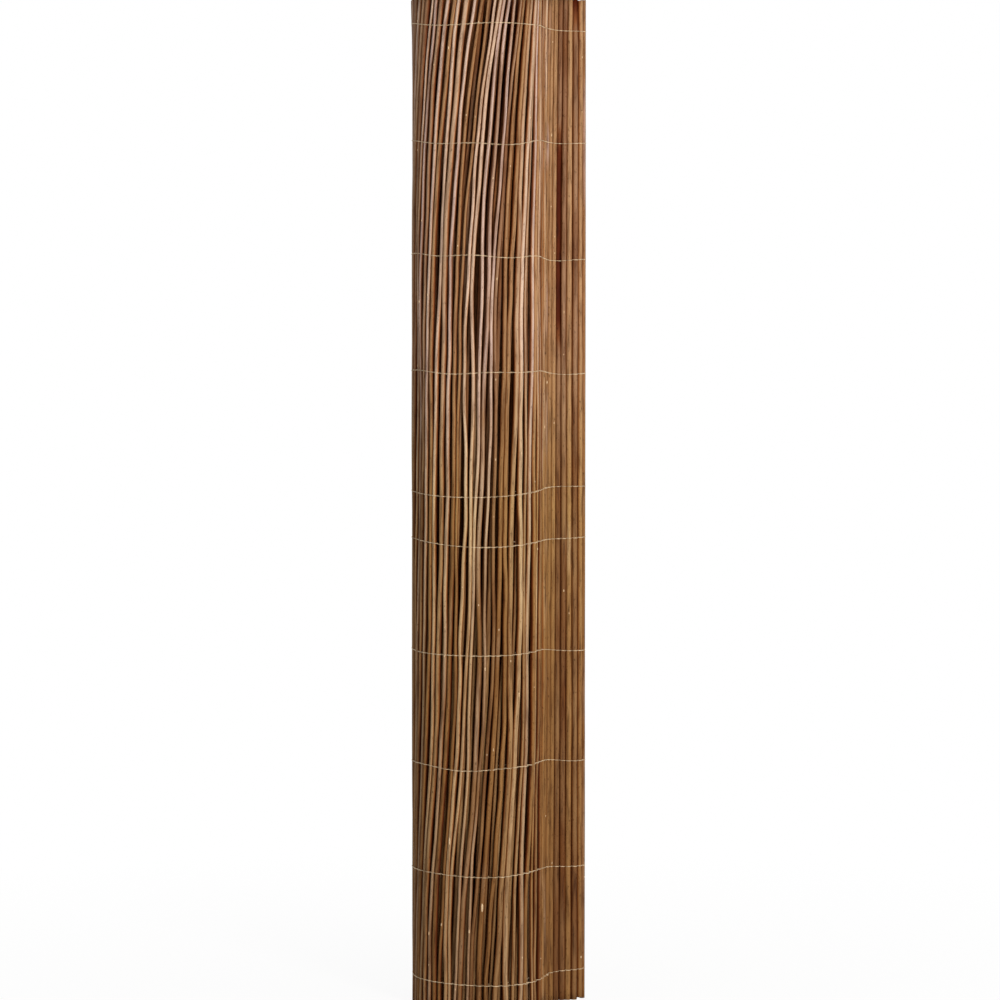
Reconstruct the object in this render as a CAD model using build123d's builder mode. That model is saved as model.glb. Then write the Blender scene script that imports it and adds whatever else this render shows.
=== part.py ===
from build123d import *
import math
import os
import random

# Willow fence, rolled up and standing on its end: a mat of thin willow rods side by side, bound by rows of wire,
# wound into a roll whose outer end swings out to the right. Millimetres, +Z up, -Y is the front.
# The origin is the middle of the footprint on the floor.

# Mat
ROD_LENGTH = 1500.0
ROD_PITCH = 9.6
LOOSE_PITCH = 8.3
ROD_DIAMETER = 7.6
ROD_SPREAD = 0.14
NECK = 2.8
VALLEY = 2.4
LOOSE_VALLEY = 0.6
SLIT = 1.8
FACETS_SHOWN = 6
FACETS_COVERED = 2

# Roll
ROLL_RADIUS = 100.0
LAYER_PITCH = 10.5
HALF_TURNS = 14

# Loose end: the outer turn leaves the roll at its right side, bends outwards, runs on and curls back at the free edge
LEAVING_ANGLE = -12.0
BEND_RADIUS = 34.0
LOOSE_ANGLE = 10.0
LOOSE_RUN = 17.0
CURL_RADIUS = 26.0
CURL_TURN = 60.0

# Binding wires
WIRE = 1.4
WIRE_SEAT = 0.1
WIRE_EDGE = 40.0
WIRE_ROWS = 5
LOWER_STEP = 163.0
UPPER_STEP = 173.5
WIRE_TAIL = 20.0
TURN_SIDES = 12
BEND_SIDES = 4
CURL_SIDES = 3

# A thick rod reaches the roll's outer radius; the wall's middle line lies half a thick rod inside it.
thickest = ROD_DIAMETER * (1 + ROD_SPREAD)


class Stretch:
    # A stretch of the mat's middle line that bends evenly: its start, heading and length, and its turn to the left.
    def __init__(self, start, heading, length, turn):
        self.start = start
        self.heading = heading
        self.length = length
        self.turn = turn

    def point(self, distance, offset):
        # The chord to a point of an even bend has made half the turn up to it. Offsets go to the left, outwards.
        turned = self.turn * distance / self.length
        half = math.radians(turned / 2)
        chord = distance * math.sin(half) / half if half else distance
        ray = Vector(1, 0).rotate(Axis.Z, self.heading + turned / 2)
        across = Vector(0, 1).rotate(Axis.Z, self.heading + turned)
        return self.start + ray * chord + across * offset

    def then(self, length, turn):
        # The next stretch, which goes on from the end of this one.
        return Stretch(self.point(self.length, 0), self.heading + self.turn, length, turn)


# Middle line of the mat, from the free edge to the core. Each half turn of the roll is tighter than the one around it.
bend_turn = 90 + LEAVING_ANGLE - LOOSE_ANGLE
curl_length = CURL_RADIUS * math.radians(CURL_TURN)
curl = Stretch(Vector(0, 0), 180 + LOOSE_ANGLE + CURL_TURN, curl_length, -CURL_TURN)
run = curl.then(LOOSE_RUN, 0)
bend = run.then(BEND_RADIUS * math.radians(bend_turn), bend_turn)
stretches = [curl, run, bend]
for half_turn in range(HALF_TURNS):
    radius = ROLL_RADIUS - thickest / 2 - half_turn * LAYER_PITCH / 2
    stretches.append(stretches[-1].then(math.pi * radius, -180))

loose_length = sum(stretch.length for stretch in stretches[:3])
shown_length = sum(stretch.length for stretch in stretches[3:5])
covered_length = sum(stretch.length for stretch in stretches[5:])


def mat_point(distance, offset):
    # A point of the mat by its distance from the free edge and its offset outwards of the middle line.
    for stretch in stretches[:-1]:
        if distance <= stretch.length:
            return stretch.point(distance, offset)
        distance -= stretch.length
    return stretches[-1].point(distance, offset)


class Rod:
    # One rod of the mat: its span along the mat, its half thickness, and its facets on the outer and the inner face.
    def __init__(self, start, end, half_thickness, outer_facets, inner_facets):
        self.start = start
        self.end = end
        self.half_thickness = half_thickness
        self.facets = {1: outer_facets, -1: inner_facets}

    def face(self, side, parted):
        # The rod's round face on one side of the mat, from valley to valley.
        facets = self.facets[side]
        points = []
        for facet in range(facets + parted):
            turn = math.pi * facet / facets
            height = NECK / 2 + (self.half_thickness - NECK / 2) * math.sin(turn)
            place = self.start + (self.end - self.start) * (1 - math.cos(turn)) / 2
            points.append(mat_point(place, side * height))
        return points


# Rods from the free edge inwards to the core: they touch on the loose end, and stand apart by a valley round the roll.
chance = random.Random(11)
parts_of_mat = [
    (loose_length, LOOSE_PITCH, LOOSE_VALLEY, FACETS_SHOWN, FACETS_SHOWN),
    (shown_length, ROD_PITCH, VALLEY, FACETS_SHOWN, FACETS_COVERED),
    (covered_length, ROD_PITCH, 0, FACETS_COVERED, FACETS_COVERED),
]
outer_face = []
inner_face = []
gaps = []
start = 0
for length, pitch, valley, outer_facets, inner_facets in parts_of_mat:
    shares = [chance.uniform(1 - ROD_SPREAD, 1 + ROD_SPREAD) for rod in range(round(length / pitch))]
    for share in shares:
        end = start + length * share / sum(shares)
        rod = Rod(start + valley / 2, end - valley / 2, ROD_DIAMETER / 2 * share, outer_facets, inner_facets)
        outer_face += rod.face(1, 1 if valley else 0)
        inner_face += rod.face(-1, 1 if valley else 0)
        if valley > SLIT:
            gaps.append(end)
        start = end
outer_face.append(mat_point(start, NECK / 2))
inner_face.append(mat_point(start, -NECK / 2))

# Heights of the binding wires: five rows in the lower half and five in the upper.
heights = [WIRE_EDGE + row * LOWER_STEP for row in range(WIRE_ROWS)]
heights += [ROD_LENGTH - WIRE_EDGE - row * UPPER_STEP for row in reversed(range(WIRE_ROWS))]

# Slits between the rods run from one wire row to another, so that rods part and close as they do in a real mat.
top_row = len(heights) - 1
middle_row = top_row // 2
spans = [(0, top_row), (0, middle_row), (middle_row + 1, top_row), (1, top_row), (0, top_row - 1)]
slits = {span: [] for span in spans}
for gap in gaps[:-1]:
    outer = [mat_point(gap - SLIT / 2, NECK), mat_point(gap + SLIT / 2, NECK)]
    inner = [mat_point(gap + SLIT / 2, -NECK), mat_point(gap - SLIT / 2, -NECK)]
    slits[chance.choice(spans)].append(outer + inner)

# Each wire hooks round the free edge and lies on the outer face, in straight runs that touch the thickest rods.
seat = thickest / 2 + WIRE_SEAT
hook = thickest / 5


def wire_side(offset, clearance):
    # One long side of a wire, offset from the mat's middle line.
    line = [mat_point(WIRE_TAIL, -offset), mat_point(WIRE_TAIL / 2, -offset), mat_point(hook, -offset)]
    line += [mat_point(-clearance, hook - offset), mat_point(-clearance, offset - hook), mat_point(hook, offset)]
    for stretch, sides in zip([curl, bend] + stretches[3:5], [CURL_SIDES, BEND_SIDES, TURN_SIDES, TURN_SIDES]):
        if stretch.turn > 0:
            line += [stretch.point(stretch.length * side / sides, offset) for side in range(sides + 1)]
        else:
            radius = stretch.length / math.radians(-stretch.turn)
            corner = (radius + offset) / math.cos(math.radians(stretch.turn / sides / 2)) - radius
            line += [stretch.point(stretch.length * (side + 0.5) / sides, corner) for side in range(sides)]
    return line + [stretches[4].point(stretches[4].length, offset)]


wire_outline = wire_side(seat, 0) + list(reversed(wire_side(seat + WIRE, WIRE)))

# The footprint's middle goes to the origin.
footprint = outer_face + inner_face + wire_outline
across = [point.X for point in footprint]
deep = [point.Y for point in footprint]
middle = Vector(min(across) + max(across), min(deep) + max(deep)) / 2


def level(height):
    return Plane((-middle.X, -middle.Y, height))


# Mat: one wall with the rods as ridges.
with BuildPart() as willow_mat:
    with BuildSketch(level(0)):
        with BuildLine():
            Polyline(*outer_face, *reversed(inner_face), close=True)
        make_face()
    extrude(amount=ROD_LENGTH)
    for (low, high), corners in slits.items():
        with BuildSketch(level(heights[low])):
            for slit in corners:
                Polygon(*slit, align=None)
        extrude(amount=heights[high] - heights[low], mode=Mode.SUBTRACT)

willow_mat.part.label = "willow_mat"

# Binding wires.
wires = []
for row, height in enumerate(heights):
    with BuildPart() as wire:
        with BuildSketch(level(height - WIRE / 2)):
            with BuildLine():
                Polyline(*wire_outline, close=True)
            make_face()
        extrude(amount=WIRE)
    wire.part.label = f"wire_row_{row + 1}"
    wires.append(wire.part)

os.makedirs("parts", exist_ok=True)
export_step(willow_mat.part, "parts/willow_mat.step")
for wire in wires:
    export_step(wire, f"parts/{wire.label}.step")
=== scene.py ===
import math
import random

import bmesh
import bpy
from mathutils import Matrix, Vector


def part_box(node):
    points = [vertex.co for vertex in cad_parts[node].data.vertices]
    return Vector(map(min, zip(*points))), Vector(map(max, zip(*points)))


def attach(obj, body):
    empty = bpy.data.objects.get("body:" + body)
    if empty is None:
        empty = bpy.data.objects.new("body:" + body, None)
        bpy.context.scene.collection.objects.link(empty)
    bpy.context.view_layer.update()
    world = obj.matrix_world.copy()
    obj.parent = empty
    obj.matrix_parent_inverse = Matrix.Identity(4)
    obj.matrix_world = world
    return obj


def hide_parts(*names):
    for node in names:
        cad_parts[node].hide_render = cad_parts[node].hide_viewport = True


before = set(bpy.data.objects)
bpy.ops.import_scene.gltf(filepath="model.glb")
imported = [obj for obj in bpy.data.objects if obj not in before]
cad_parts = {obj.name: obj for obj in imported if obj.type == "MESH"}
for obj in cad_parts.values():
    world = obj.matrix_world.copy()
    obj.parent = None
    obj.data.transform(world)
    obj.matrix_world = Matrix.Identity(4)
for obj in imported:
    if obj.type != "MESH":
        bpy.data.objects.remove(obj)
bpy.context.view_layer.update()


# The mat's lay: willow rods side by side. From its free edge at the right the mat curls forward, runs on,
# bends in to the roll's right side, and then winds about the core in half turns, each tighter than the one
# around it.
mat_low, mat_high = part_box("willow_mat")
rod_length = mat_high[2] - mat_low[2]
rod_diameter = 0.0076
rod_spread = 0.14
thickest_radius = rod_diameter * (1 + rod_spread) / 2
roll_radius = 0.1
layer_pitch = 0.0105
half_turns = 14
roll_axis = Vector((-0.0301, 0.0021, 0))
edge_heading = math.radians(250)
curl_radius = 0.026
curl_turn = 60
straight_run = 0.017
bend_radius = 0.034
bend_turn = 68
lay_of_mat = [
    (curl_radius * math.radians(curl_turn), -curl_turn),
    (straight_run, 0),
    (bend_radius * math.radians(bend_turn), bend_turn),
]
for half_turn in range(half_turns):
    lay_of_mat.append((math.pi * (roll_radius - thickest_radius - half_turn * layer_pitch / 2), -180))
loose_length = sum(length for length, turn in lay_of_mat[:3])
outer_length = sum(length for length, turn in lay_of_mat[3:5])
covered_length = sum(length for length, turn in lay_of_mat[5:])


def stretch_point(stretch, distance, offset):
    """A point of an evenly bent stretch, `distance` along it and `offset` outwards of its middle line."""
    start, heading, length, turn = stretch
    turned = turn * distance / length
    chord = distance * math.sin(turned / 2) / (turned / 2) if turned else distance
    ray = Vector((math.cos(heading + turned / 2), math.sin(heading + turned / 2), 0))
    across = Vector((-math.sin(heading + turned), math.cos(heading + turned), 0))
    return start + ray * chord + across * offset


stretches = []
stretch_start = Vector((0, 0, 0))
stretch_heading = edge_heading
for length, turn in lay_of_mat:
    stretches.append((stretch_start, stretch_heading, length, math.radians(turn)))
    stretch_start = stretch_point(stretches[-1], length, 0)
    stretch_heading += math.radians(turn)
to_roll_axis = roll_axis - stretch_point(stretches[3], 0, thickest_radius - roll_radius)


def on_mat(run, offset, height):
    """A point `run` in from the mat's free edge and `offset` outwards of its middle line."""
    for stretch in stretches[:-1]:
        if run <= stretch[2]:
            break
        run -= stretch[2]
    else:
        stretch = stretches[-1]
    return stretch_point(stretch, run, offset) + to_roll_axis + Vector((0, 0, height))


def smooth_step(value):
    """0 up to a value of 0, 1 from a value of 1 on, and a soft rise between them."""
    share = min(max(value, 0), 1)
    return share * share * (3 - 2 * share)


even_lean = 0.020
top_lean = 0.030
top_lean_from = 1.0
foot_lean = 0.018
foot_lean_from = 0.05
foot_lean_length = 0.45
lean_offset = 0.039
upright_edge = 0.01
lean_growth = 0.2


def lean(run, height):
    """How far a rod has slid along the mat at a height. In front tops lean right, the edge is upright."""
    above = max(height - top_lean_from, 0) / (rod_length - top_lean_from)
    from_foot = smooth_step((height - foot_lean_from) / foot_lean_length)
    slide = even_lean * height + top_lean * above**2 + foot_lean * from_foot - lean_offset
    return -slide * smooth_step((run - upright_edge) / lean_growth)


# Willow rods: dry unpeeled shoots, each with its own taper, bends, thickness and colour, cut to length at
# both ends. Round the roll they stand apart, and on the loose end they are pushed together. Two there sink
# back for some length, and the first covered turn presses out against the outer one.
loose_pitch = 0.0083
roll_pitch = 0.0096
turns_of_mat = [
    ("loose", loose_length, loose_pitch),
    ("outer", outer_length, roll_pitch),
    ("covered", covered_length, roll_pitch),
]
chance = random.Random(11)
rods = []
start = 0
for turn, length, pitch in turns_of_mat:
    shares = [chance.uniform(1 - rod_spread, 1 + rod_spread) for rod in range(round(length / pitch))]
    for share in shares:
        end = start + length * share / sum(shares)
        rods.append({"run": (start + end) / 2, "share": share, "turn": turn})
        start = end

mean_radius = 0.0033
thickness_contrast = 1.9
taper = (-0.48, 0.16)
any_phase = (0, 6.3)
bends = [((0.0008, 0.0034), (4, 9)), ((0.0005, 0.0017), (13, 26)), ((0.0001, 0.0007), (36, 62))]
bow_size = 0.0013
bow_rate = (5, 12)
packed_length = 0.068
packed_fade = 0.03
hardly_packed = 0.02
packed_bow_loss = 0.8
packed_sway_loss = 0.88
packed_radius_share = 0.51
sunk_depth = 0.0050
sunk_swell = 0.0014
sunk_fade = 0.08
sunk_lengths = {2: (1.43, 1.60), 5: (0.96, 1.34)}
pressed_depth = 0.0026
pressed_end = loose_length + outer_length + 0.54
uneven_cut = 0.003
level_cut = range(2, 12)
loose_tone = (0.60, 0.82)
outer_tone = (0.16, 1.0)
# Painted shade: the covered rods get dark, warm red-brown tints that stand in for the shade and warm bounce
# light in the gaps.
painted_gap_shade_tone = 0.14
flank_tone = (0.55, 0.82)
dark_tone = 0.16
dark_share = 0.45
pressed_foot_tone = 0.2
wood = random.Random(4)
for index, rod in enumerate(rods):
    rod["radius"] = mean_radius * (1 + thickness_contrast * (rod["share"] - 1))
    rod["packed"] = 1 - smooth_step((rod["run"] - packed_length) / packed_fade)
    rod["taper"] = wood.uniform(*taper)
    rod["waves"] = []
    for size, rate in bends:
        rod["waves"].append((wood.uniform(*size), wood.uniform(*rate), wood.uniform(*any_phase)))
    bow = wood.uniform(0, bow_size) * (1 - packed_bow_loss * rod["packed"])
    rod["bow"] = (bow, wood.uniform(*bow_rate), wood.uniform(*any_phase))
    rod["sunk"] = sunk_lengths.get(index, (0, 0))
    rod["pressed"] = pressed_depth if rod["turn"] == "covered" and rod["run"] < pressed_end else 0
    rod["foot"] = 0 if index in level_cut else wood.uniform(0, uneven_cut)
    rod["top"] = rod_length - (0 if index in level_cut else wood.uniform(0, uneven_cut))
    tones = {
        "loose": wood.uniform(*loose_tone),
        "outer": wood.uniform(*outer_tone),
        "covered": painted_gap_shade_tone * wood.random(),
    }
    rod["tone"] = tones[rod["turn"]]
    if rod["packed"] > hardly_packed and rod["turn"] == "outer":
        rod["tone"] = wood.uniform(*flank_tone)
    # Painted shade: the sunk rods take the dark tone, which stands in for the shade where they sink back.
    # Some packed rods take it at random.
    if index in sunk_lengths or rod["packed"] > hardly_packed and wood.random() < dark_share:
        rod["tone"] = dark_tone
    rod["seed"] = wood.random()
shown_rods = [rod for rod in rods if rod["turn"] != "covered"]
covered_rods = [rod for rod in rods if rod["turn"] == "covered"]


def rod_run(rod, height):
    """A rod's own place along the mat at a height, with its lean and its bends. Packed rods hardly bend."""
    sway = sum(size * math.sin(rate * height + phase) for size, rate, phase in rod["waves"])
    return rod["run"] + lean(rod["run"], height) + sway * (1 - packed_sway_loss * rod["packed"])


def rod_bow(rod, height):
    """How far a rod bows outwards of the mat's middle line at a height."""
    bow, rate, phase = rod["bow"]
    return bow * math.sin(rate * height + phase)


def sunk_share(rod, height):
    """1 where a rod is sunk and 0 where it isn't, with a fade at both ends of the sunk length."""
    low, high = rod["sunk"]
    return smooth_step((height - low) / sunk_fade) * smooth_step((high - height) / sunk_fade)


edge_margin = 0.0004
crowding_step = 0.005
crowded_thinning = 0.65
settling_rounds = 6


def row_lay(row_of_rods, height):
    """Each rod's place along the mat and its radius at a height, with meeting neighbours pushed apart."""
    runs = [rod_run(rod, height) for rod in row_of_rods]
    last = len(runs) - 1
    radii = []
    for index, rod in enumerate(row_of_rods):
        before, after = max(index - 1, 0), min(index + 1, last)
        room = max(runs[after] - runs[index], runs[index] - runs[before])
        own = rod["radius"] * (1 + rod["taper"] * (height / rod_length - 0.5))
        lean_before = lean(rod["run"] - crowding_step, height)
        lean_after = lean(rod["run"] + crowding_step, height)
        crowding = (lean_before - lean_after) / (2 * crowding_step)
        own *= 1 - crowded_thinning * max(crowding, 0)
        radii.append(own + rod["packed"] * (packed_radius_share * room - own))
    for settling in range(settling_rounds):
        runs[0] = max(runs[0], radii[0] + edge_margin)
        for index in range(last):
            push = (radii[index] + radii[index + 1] - (runs[index + 1] - runs[index])) / 2
            push *= 1 - row_of_rods[index]["packed"]
            if push > 0:
                runs[index] -= push
                runs[index + 1] += push
    runs[0] = max(runs[0], radii[0] + edge_margin)
    return runs, radii


def paint(red, green, blue):
    """A colour as seen on screen, 0 to 255, for a shader socket."""
    channels = [value / 255 for value in (red, green, blue)]
    linear = [value / 12.92 if value < 0.04045 else ((value + 0.055) / 1.055) ** 2.4 for value in channels]
    return linear + [1]


def add_node(owner, kind, inputs=None, **settings):
    """A shader node with its settings, and its inputs set to values or linked to other nodes' sockets."""
    node = owner.node_tree.nodes.new(kind)
    for setting, value in settings.items():
        setattr(node, setting, value)
    for socket, value in (inputs or {}).items():
        if isinstance(value, bpy.types.NodeSocket):
            owner.node_tree.links.new(value, node.inputs[socket])
        else:
            node.inputs[socket].default_value = value
    return node


def colour_ramp(material, factor, stops):
    """Colours that change from stop to stop with a factor."""
    ramp = add_node(material, "ShaderNodeValToRGB", {"Fac": factor})
    while len(ramp.color_ramp.elements) < len(stops):
        ramp.color_ramp.elements.new(1)
    for element, (position, colour) in zip(ramp.color_ramp.elements, stops):
        element.position = position
        element.color = colour
    return ramp.outputs["Color"]


def shaded(material, strength, colour, shade):
    """A colour darkened by a shade, as far as the strength says."""
    inputs = {0: strength, 6: colour, 7: shade}
    return add_node(material, "ShaderNodeMix", inputs, data_type="RGBA", blend_type="MULTIPLY").outputs[2]


# Bark: each rod has its own tint, from red brown over tan and ochre to greyish mauve, with streaks along the
# rod, paler and darker lengths and specks. Painted light makes the rods darker and more olive low down and
# paler and cooler high up, and painted shade darkens each rod's sides and the whole of the sunk lengths.
willow_bark = bpy.data.materials.new("willow_bark")
willow_bark.use_nodes = True
bark_shader = willow_bark.node_tree.nodes["Principled BSDF"]
bark_grain = add_node(willow_bark, "ShaderNodeAttribute", attribute_name="grain").outputs["Vector"]
bark_tone = add_node(willow_bark, "ShaderNodeAttribute", attribute_name="tone").outputs["Fac"]
bark_seed = add_node(willow_bark, "ShaderNodeAttribute", attribute_name="seed").outputs["Fac"]
seed_spread = 40.0
turn_inputs = {0: bark_seed, 1: seed_spread}
bark_turn = add_node(willow_bark, "ShaderNodeMath", turn_inputs, operation="MULTIPLY").outputs[0]


def bark_noise(stretch, detail):
    """Noise that is drawn out along the rod by a stretch, and differs from rod to rod."""
    lay = add_node(willow_bark, "ShaderNodeMapping", {"Vector": bark_grain, "Scale": stretch})
    inputs = {"Vector": lay.outputs["Vector"], "W": bark_turn, "Scale": 1.0, "Detail": detail}
    return add_node(willow_bark, "ShaderNodeTexNoise", inputs, noise_dimensions="4D").outputs["Fac"]


lengths = bark_noise((0.15, 0.15, 6.0), 2.0)
streaks = bark_noise((1.4, 1.4, 24.0), 4.0)
specks = bark_noise((2.5, 2.5, 200.0), 2.0)
tone_drift = 0.36
drift_inputs = {0: lengths, 1: tone_drift, 2: -tone_drift / 2}
drift = add_node(willow_bark, "ShaderNodeMath", drift_inputs, operation="MULTIPLY_ADD").outputs[0]
drifting_tone = add_node(willow_bark, "ShaderNodeMath", {0: bark_tone, 1: drift}, operation="ADD").outputs[0]
bark_tints = [
    # The two darkest tints are worn chiefly by the covered rods, as painted shade in the gaps.
    (0.00, paint(134, 80, 36)),
    (0.12, paint(118, 76, 48)),
    (0.30, paint(171, 135, 104)),
    (0.48, paint(203, 172, 149)),
    (0.62, paint(167, 127, 89)),
    (0.80, paint(140, 99, 64)),
    (0.90, paint(184, 154, 140)),
    (1.00, paint(202, 172, 148)),
]
streak_shades = [(0.30, paint(140, 118, 104)), (0.52, paint(255, 255, 255)), (0.72, paint(255, 250, 240))]
speck_shades = [(0.28, paint(112, 84, 66)), (0.40, paint(255, 255, 255))]
# Painted light: the rods are lighter and cooler higher up, and darker and more olive low down.
painted_light_by_height = [
    (0.0, paint(200, 192, 164)),
    (0.5, paint(209, 203, 174)),
    (0.75, paint(230, 233, 207)),
    (1.0, paint(246, 250, 252)),
]
# Painted shade: each rod is darker and redder towards its sides, where it turns away from the mat's faces.
painted_flank_shades = [(0.1, paint(146, 80, 28)), (0.5, paint(216, 176, 138)), (0.85, paint(255, 255, 255))]
tint = colour_ramp(willow_bark, drifting_tone, bark_tints)
streaked = shaded(willow_bark, 0.8, tint, colour_ramp(willow_bark, streaks, streak_shades))
specked = shaded(willow_bark, 0.7, streaked, colour_ramp(willow_bark, specks, speck_shades))
bark_place = add_node(willow_bark, "ShaderNodeTexCoord").outputs["Object"]
above_floor = add_node(willow_bark, "ShaderNodeSeparateXYZ", {0: bark_place}).outputs["Z"]
lit_by_height = shaded(willow_bark, 1.0, specked, colour_ramp(willow_bark, above_floor, painted_light_by_height))
across_rod = add_node(willow_bark, "ShaderNodeSeparateXYZ", {0: bark_grain}).outputs["X"]
flank_shade_mask = add_node(willow_bark, "ShaderNodeMath", {0: across_rod}, operation="ABSOLUTE").outputs[0]
flank_shaded = shaded(willow_bark, 1.0, lit_by_height, colour_ramp(willow_bark, flank_shade_mask, painted_flank_shades))
relief = add_node(willow_bark, "ShaderNodeBump", {"Height": streaks, "Strength": 0.5, "Distance": 0.0004})
willow_bark.node_tree.links.new(flank_shaded, bark_shader.inputs["Base Color"])
willow_bark.node_tree.links.new(relief.outputs["Normal"], bark_shader.inputs["Normal"])
bark_shader.inputs["Roughness"].default_value = 0.7
bark_shader.inputs["Specular IOR Level"].default_value = 0.08

# Cut rod ends: pale dry wood with a dark pith in the middle and a thin rim of bark, faintly marked by the
# saw. Each rod is bent from a plain stick, with bark on its side and cut wood at its ends.
cut_willow = bpy.data.materials.new("cut_willow")
cut_willow.use_nodes = True
cut_shader = cut_willow.node_tree.nodes["Principled BSDF"]
cut_grain = add_node(cut_willow, "ShaderNodeAttribute", attribute_name="grain").outputs["Vector"]
disc_inputs = {"Vector": cut_grain, "Scale": (1, 1, 0)}
cut_disc = add_node(cut_willow, "ShaderNodeMapping", disc_inputs).outputs["Vector"]
from_pith = add_node(cut_willow, "ShaderNodeVectorMath", {0: cut_disc}, operation="LENGTH").outputs["Value"]
cut_tints = [
    (0.0, paint(104, 74, 50)),
    (0.16, paint(120, 88, 60)),
    (0.24, paint(206, 176, 132)),
    (0.84, paint(190, 156, 112)),
    (0.93, paint(120, 84, 56)),
]
saw_shades = [(0.3, paint(170, 150, 130)), (0.6, paint(255, 255, 255))]
saw_inputs = {"Vector": cut_grain, "Scale": 5.0, "Detail": 3.0}
saw_marks = add_node(cut_willow, "ShaderNodeTexNoise", saw_inputs).outputs["Fac"]
cut_rings = colour_ramp(cut_willow, from_pith, cut_tints)
cut_colour = shaded(cut_willow, 0.8, cut_rings, colour_ramp(cut_willow, saw_marks, saw_shades))
cut_willow.node_tree.links.new(cut_colour, cut_shader.inputs["Base Color"])
cut_shader.inputs["Roughness"].default_value = 0.8


def round_stick(sides, rings):
    """A plain stick of unit radius and height, cut into rings, with cut wood at its ends."""
    stick = bmesh.new()
    bmesh.ops.create_cone(stick, cap_ends=True, segments=sides, radius1=1, radius2=1, depth=1)
    bmesh.ops.translate(stick, verts=stick.verts, vec=(0, 0, 0.5))
    upright = [edge for edge in stick.edges if abs(edge.verts[0].co.z - edge.verts[1].co.z) > 0.5]
    bmesh.ops.subdivide_edges(stick, edges=upright, cuts=rings - 1)
    for face in stick.faces:
        face.smooth = abs(face.normal.z) < 0.5
        face.material_index = 0 if face.smooth else 1
    mesh = bpy.data.meshes.new("round_stick")
    stick.to_mesh(mesh)
    stick.free()
    return mesh


def rods_piece(name, row_of_rods, turn, sides, rings):
    """One piece of the rods in one turn of a row, each bent from a plain stick along its own line."""
    stick = round_stick(sides, rings)
    lay = [row_lay(row_of_rods, rod_length * ring / rings) for ring in range(rings + 1)]
    bundle = bmesh.new()
    grain = bundle.verts.layers.float_vector.new("grain")
    tone = bundle.verts.layers.float.new("tone")
    seed = bundle.verts.layers.float.new("seed")
    for index, rod in enumerate(row_of_rods):
        if rod["turn"] != turn:
            continue
        first = len(bundle.verts)
        bundle.from_mesh(stick)
        bundle.verts.ensure_lookup_table()
        for vert in bundle.verts[first:]:
            across, around, share = vert.co
            runs, radii = lay[round(share * rings)]
            height = rod["foot"] + (rod["top"] - rod["foot"]) * share
            sunk = sunk_share(rod, height)
            offset = rod_bow(rod, height) - sunk_depth * sunk + rod["pressed"]
            middle = on_mat(runs[index], offset, height)
            outwards = on_mat(runs[index], offset + 1, height) - middle
            sideways = Vector((-outwards.y, outwards.x, 0))
            vert.co = middle + (outwards * across + sideways * around) * (radii[index] + sunk_swell * sunk)
            # Painted shade: on the sunk lengths the across-rod grain shrinks, so the side shade darkens
            # their whole face.
            vert[grain] = (across * (1 - sunk), around, height)
            # Painted shade, less of it low down: the pressed covered rods are painted lighter towards their
            # foot.
            vert[tone] = rod["tone"] + (pressed_foot_tone * (1 - share) if rod["pressed"] else 0)
            vert[seed] = rod["seed"]
    mesh = bpy.data.meshes.new(name)
    bundle.to_mesh(mesh)
    bundle.free()
    bpy.data.meshes.remove(stick)
    mesh.materials.append(willow_bark)
    mesh.materials.append(cut_willow)
    piece = bpy.data.objects.new(name, mesh)
    bpy.context.scene.collection.objects.link(piece)
    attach(piece, "root")
    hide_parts("willow_mat")


rods_piece("loose_end_rods", shown_rods, "loose", sides=12, rings=90)
rods_piece("outer_turn_rods", shown_rods, "outer", sides=12, rings=90)
rods_piece("covered_turn_rods", covered_rods, "covered", sides=8, rings=5)


# Twig scars: pale swellings of bare wood where side shoots were trimmed off the rods, long and narrow along
# the rod. A few stand out, each given by its place across the front, height, half width and half length.
scar_wood = bpy.data.materials.new("scar_wood")
scar_wood.use_nodes = True
scar_shader = scar_wood.node_tree.nodes["Principled BSDF"]
scar_place = add_node(scar_wood, "ShaderNodeTexCoord").outputs["Object"]
scar_inputs = {"Vector": scar_place, "Scale": 400.0, "Detail": 2.0}
scar_grain = add_node(scar_wood, "ShaderNodeTexNoise", scar_inputs).outputs["Fac"]
scar_tints = [(0.35, paint(170, 134, 96)), (0.6, paint(208, 180, 142))]
scar_colour = colour_ramp(scar_wood, scar_grain, scar_tints)
scar_wood.node_tree.links.new(scar_colour, scar_shader.inputs["Base Color"])
scar_shader.inputs["Roughness"].default_value = 0.8

scars = [
    (-0.0186, 0.158, 0.0016, 0.0070),
    (-0.045, 0.122, 0.0010, 0.0030),
    (-0.102, 0.114, 0.0010, 0.0030),
    (0.027, 0.473, 0.0011, 0.0035),
    (-0.024, 0.513, 0.0011, 0.0035),
    (-0.072, 0.256, 0.0011, 0.0060),
]
small_scars = 60
small_scar_width = (0.0006, 0.0010)
small_scar_slenderness = (1.5, 3)
small_scar_across = (-0.125, 0.125)
small_scar_height = (0.03, 1.47)
scarred_run = 0.37
scar_seat = 0.3
trimming = random.Random(21)
for scar in range(small_scars):
    width = trimming.uniform(*small_scar_width)
    across = trimming.uniform(*small_scar_across)
    height = trimming.uniform(*small_scar_height)
    scars.append((across, height, width, width * trimming.uniform(*small_scar_slenderness)))
swellings = bmesh.new()
for across, height, width, length in scars:
    runs, radii = row_lay(shown_rods, height)
    in_front = [index for index, run in enumerate(runs) if run < scarred_run and index not in sunk_lengths]
    index = min(in_front, key=lambda rod: abs(on_mat(runs[rod], 0, height).x - across))
    swelling = bmesh.ops.create_icosphere(swellings, subdivisions=2, radius=1)["verts"]
    bmesh.ops.scale(swellings, verts=swelling, vec=(width, width, length))
    offset = rod_bow(shown_rods[index], height) + radii[index] - scar_seat * width
    bmesh.ops.translate(swellings, verts=swelling, vec=on_mat(runs[index], offset, height))
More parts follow.
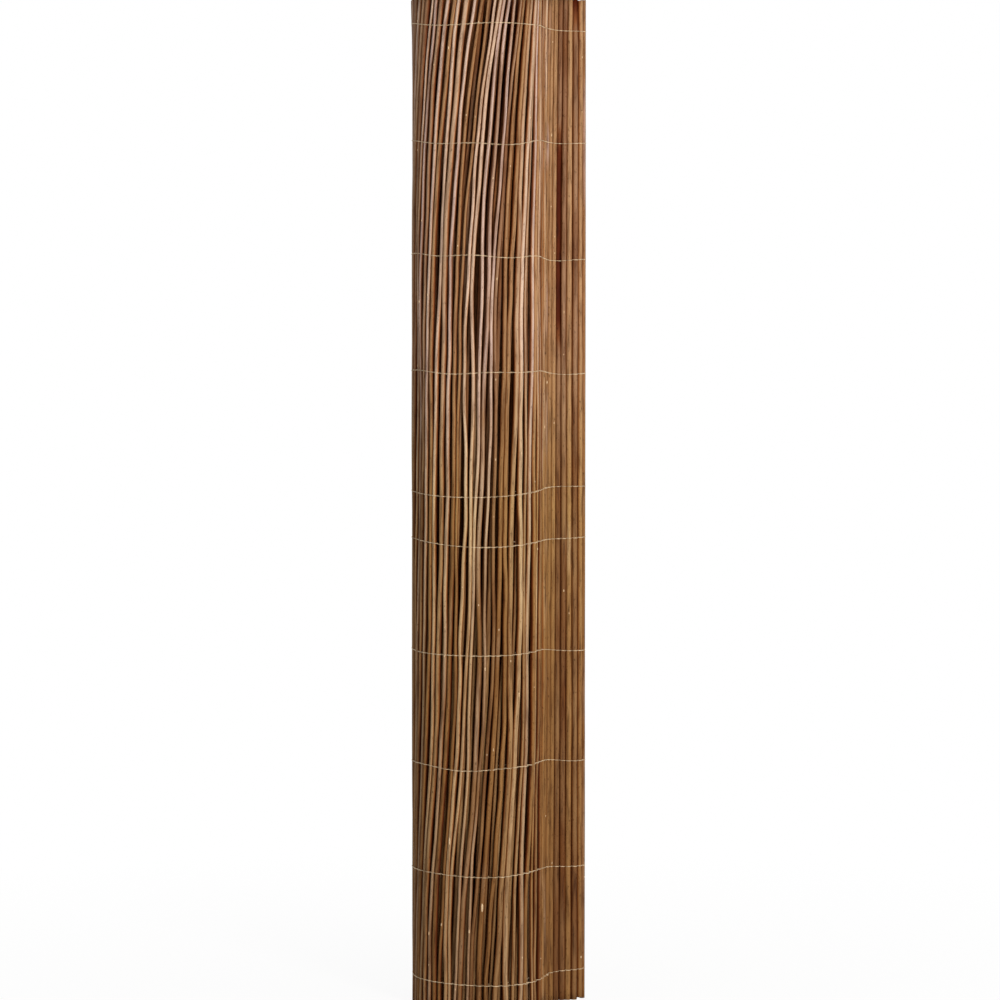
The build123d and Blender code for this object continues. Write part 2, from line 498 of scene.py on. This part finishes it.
for face in swellings.faces:
    face.smooth = True
scar_mesh = bpy.data.meshes.new("twig_scars")
swellings.to_mesh(scar_mesh)
swellings.free()
scar_mesh.materials.append(scar_wood)
twig_scars = bpy.data.objects.new("twig_scars", scar_mesh)
bpy.context.scene.collection.objects.link(twig_scars)
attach(twig_scars, "root")
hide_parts("willow_mat")


# Binding wire: rows of two thin galvanised strands, twisted between the rods so that one strand lies before
# and one behind each rod. They start in a loop round the edge rod and run on under the outer turn. Each row
# is lifted off its level, sags in front and is pulled up or down on the loose end, by its own amounts.
wire_metal = bpy.data.materials.new("binding_wire")
wire_metal.use_nodes = True
wire_shader = wire_metal.node_tree.nodes["Principled BSDF"]
wire_place = add_node(wire_metal, "ShaderNodeTexCoord").outputs["Object"]
zinc_inputs = {"Vector": wire_place, "Scale": 90.0, "Detail": 3.0}
zinc = add_node(wire_metal, "ShaderNodeTexNoise", zinc_inputs).outputs["Fac"]
zinc_colour = colour_ramp(wire_metal, zinc, [(0.35, paint(152, 128, 98)), (0.6, paint(204, 180, 146))])
gloss_inputs = {"Value": zinc, "To Min": 0.38, "To Max": 0.6}
zinc_gloss = add_node(wire_metal, "ShaderNodeMapRange", gloss_inputs).outputs["Result"]
wire_metal.node_tree.links.new(zinc_colour, wire_shader.inputs["Base Color"])
wire_metal.node_tree.links.new(zinc_gloss, wire_shader.inputs["Roughness"])
wire_shader.inputs["Metallic"].default_value = 0.35

wire_rows = 10
wire_radius = 0.00055
wire_shoulder = 0.62
covered_rods_wired = 8
front_run = 0.215
front_reach = 0.14
edge_run = 0.03
edge_reach = 0.08
row_lift = [0.002, 0.002, 0.0, 0.006, 0.008, 0.006, 0.012, 0.008, 0.004, 0.001]
front_sag = [0.001, 0.0, 0.003, 0.003, 0.006, 0.006, 0.003, -0.001, 0.005, 0.001]
edge_sag = [-0.004, 0.002, 0.001, 0.007, 0.001, -0.003, 0.007, 0.008, 0.004, 0.009]
ripples = 3
ripple_size = (0.0003, 0.0014)
ripple_rate = (10, 60)
wired_rods = shown_rods + covered_rods[:covered_rods_wired]
hand = random.Random(9)


def wire_height(row, level, slack, run):
    """The height of a row's wire at a place along the mat: its level, lifted, sagging and rippled."""
    sag = front_sag[row] * smooth_step(1 - abs(run - front_run) / front_reach)
    sag += edge_sag[row] * smooth_step(1 - (run - edge_run) / edge_reach)
    ripple = sum(size * math.sin(rate * run + phase) for size, rate, phase in slack)
    return level + row_lift[row] - sag + ripple


def strand_points(row, level, slack, side):
    """Points of one strand, which passes the first rod on one side, the next on the other, and so on."""
    runs, radii = row_lay(wired_rods, level)
    points = [on_mat(runs[0] - radii[0] - wire_radius, 0, wire_height(row, level, slack, 0))]
    for index in range(len(wired_rods)):
        reach = radii[index] + wire_radius
        height = wire_height(row, level, slack, runs[index])
        for shoulder in (-wire_shoulder, wire_shoulder):
            points.append(on_mat(runs[index] + shoulder * reach, side * reach, height))
        if index + 1 < len(wired_rods):
            gap = (runs[index] + radii[index] + runs[index + 1] - radii[index + 1]) / 2
            points.append(on_mat(gap, 0, wire_height(row, level, slack, gap) + side * wire_radius))
        side = -side
    return points


for row in range(wire_rows):
    node_name = f"wire_row_{row + 1}"
    low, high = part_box(node_name)
    level = (low[2] + high[2]) / 2
    slack = []
    for ripple in range(ripples):
        slack.append((hand.uniform(*ripple_size), hand.uniform(*ripple_rate), hand.uniform(*any_phase)))
    line = bpy.data.curves.new(f"{node_name}_line", "CURVE")
    line.dimensions = "3D"
    line.bevel_depth = wire_radius
    line.bevel_resolution = 1
    line.resolution_u = 2
    line.use_fill_caps = True
    for side in (1, -1):
        points = strand_points(row, level, slack, side)
        spline = line.splines.new("NURBS")
        spline.points.add(len(points) - 1)
        for control, point in zip(spline.points, points):
            control.co = (*point, 1)
        spline.order_u = 3
        spline.use_endpoint_u = True
    wire_line = bpy.data.objects.new(f"{node_name}_line", line)
    bpy.context.scene.collection.objects.link(wire_line)
    mesh = bpy.data.meshes.new_from_object(wire_line)
    bpy.data.objects.remove(wire_line)
    for face in mesh.polygons:
        face.use_smooth = True
    mesh.materials.clear()
    mesh.materials.append(wire_metal)
    strands = bpy.data.objects.new(f"{node_name}_strands", mesh)
    bpy.context.scene.collection.objects.link(strands)
    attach(strands, "root")
    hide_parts(node_name)


# Floor and surround: a plain white studio sweep that keeps the roll's soft shadow. Both are white to the
# camera, and light the roll more weakly than that.
floor_size = 40
floor_mesh = bpy.data.meshes.new("studio_floor")
sheet = bmesh.new()
bmesh.ops.create_grid(sheet, x_segments=1, y_segments=1, size=floor_size)
sheet.to_mesh(floor_mesh)
sheet.free()
studio_floor = bpy.data.objects.new("studio_floor", floor_mesh)
bpy.context.scene.collection.objects.link(studio_floor)


def seen_directly(owner):
    """1 for the camera and for glossy reflections, and 0 for the soft light that the surface sends out."""
    sight = add_node(owner, "ShaderNodeLightPath").outputs
    rays = {0: sight["Is Camera Ray"], 1: sight["Is Glossy Ray"]}
    return add_node(owner, "ShaderNodeMath", rays, operation="MAXIMUM").outputs[0]


floor_paint = bpy.data.materials.new("studio_floor")
floor_paint.use_nodes = True
floor_shader = floor_paint.node_tree.nodes["Principled BSDF"]
floor_shader.inputs["Base Color"].default_value = (0.8, 0.8, 0.8, 1)
floor_shader.inputs["Roughness"].default_value = 0.9
floor_glow = add_node(floor_paint, "ShaderNodeEmission", {"Color": (1, 1, 1, 1), "Strength": 1.0})
floor_place = add_node(floor_paint, "ShaderNodeTexCoord").outputs["Object"]
floor_reach = add_node(floor_paint, "ShaderNodeVectorMath", {0: floor_place}, operation="LENGTH")
fade_inputs = {"Value": floor_reach.outputs["Value"], "From Max": 1.5, "To Min": 0.9, "To Max": 1.0}
floor_fade = add_node(floor_paint, "ShaderNodeMapRange", fade_inputs).outputs["Result"]
share_inputs = {0: seen_directly(floor_paint), 1: floor_fade}
floor_share = add_node(floor_paint, "ShaderNodeMath", share_inputs, operation="MULTIPLY").outputs[0]
mix_inputs = {0: floor_share, 1: floor_shader.outputs["BSDF"], 2: floor_glow.outputs["Emission"]}
floor_mix = add_node(floor_paint, "ShaderNodeMixShader", mix_inputs).outputs["Shader"]
floor_paint.node_tree.links.new(floor_mix, floor_paint.node_tree.nodes["Material Output"].inputs["Surface"])
floor_mesh.materials.append(floor_paint)

surround = bpy.data.worlds.new("studio_surround")
bpy.context.scene.world = surround
surround.use_nodes = True
sky = surround.node_tree.nodes["Background"]
sky.inputs["Color"].default_value = (1, 1, 1, 1)
sky_inputs = {"Value": seen_directly(surround), "To Min": 0.46, "To Max": 1.0}
sky_strength = add_node(surround, "ShaderNodeMapRange", sky_inputs).outputs["Result"]
surround.node_tree.links.new(sky_strength, sky.inputs["Strength"])


# Studio lamps: a broad soft key from the front right, a little above the camera, and a weaker and broader
# lamp from behind. Both shine slightly down at the middle of the roll.
lamp_target = Vector((0, 0, 0.75))
lamp_tint = (1, 0.98, 0.95)


def soft_lamp(name, place, width, power):
    lamp = bpy.data.lights.new(name, "AREA")
    lamp.size = width
    lamp.energy = power
    lamp.color = lamp_tint
    stand = bpy.data.objects.new(name, lamp)
    stand.location = place
    stand.rotation_euler = (lamp_target - Vector(place)).to_track_quat("-Z", "Y").to_euler()
    bpy.context.scene.collection.objects.link(stand)


soft_lamp("key_lamp", (2.3, -4.45, 1.4), width=1.0, power=242)
soft_lamp("back_lamp", (0.3, 5.0, 1.7), width=1.6, power=120)

# Camera: a long lens straight in front at chest level, looking slightly down at the middle of the roll. The
# roll fills the picture from top to bottom.
camera_distance = 6.27
camera_height = 1.21
camera_side = 0.0019
look_height = 0.7561
view_angle = math.radians(13.55)
lens = bpy.data.cameras.new("photo_camera")
lens.sensor_width = 36
lens.lens = lens.sensor_width / 2 / math.tan(view_angle / 2)
lens.clip_end = 100
photo_camera = bpy.data.objects.new("photo_camera", lens)
photo_camera.location = (camera_side, roll_axis.y - camera_distance, camera_height)
sight_line = Vector((camera_side, roll_axis.y, look_height)) - photo_camera.location
photo_camera.rotation_euler = sight_line.to_track_quat("-Z", "Y").to_euler()
bpy.context.scene.collection.objects.link(photo_camera)
bpy.context.scene.camera = photo_camera
bpy.context.scene.view_settings.view_transform = "Standard"
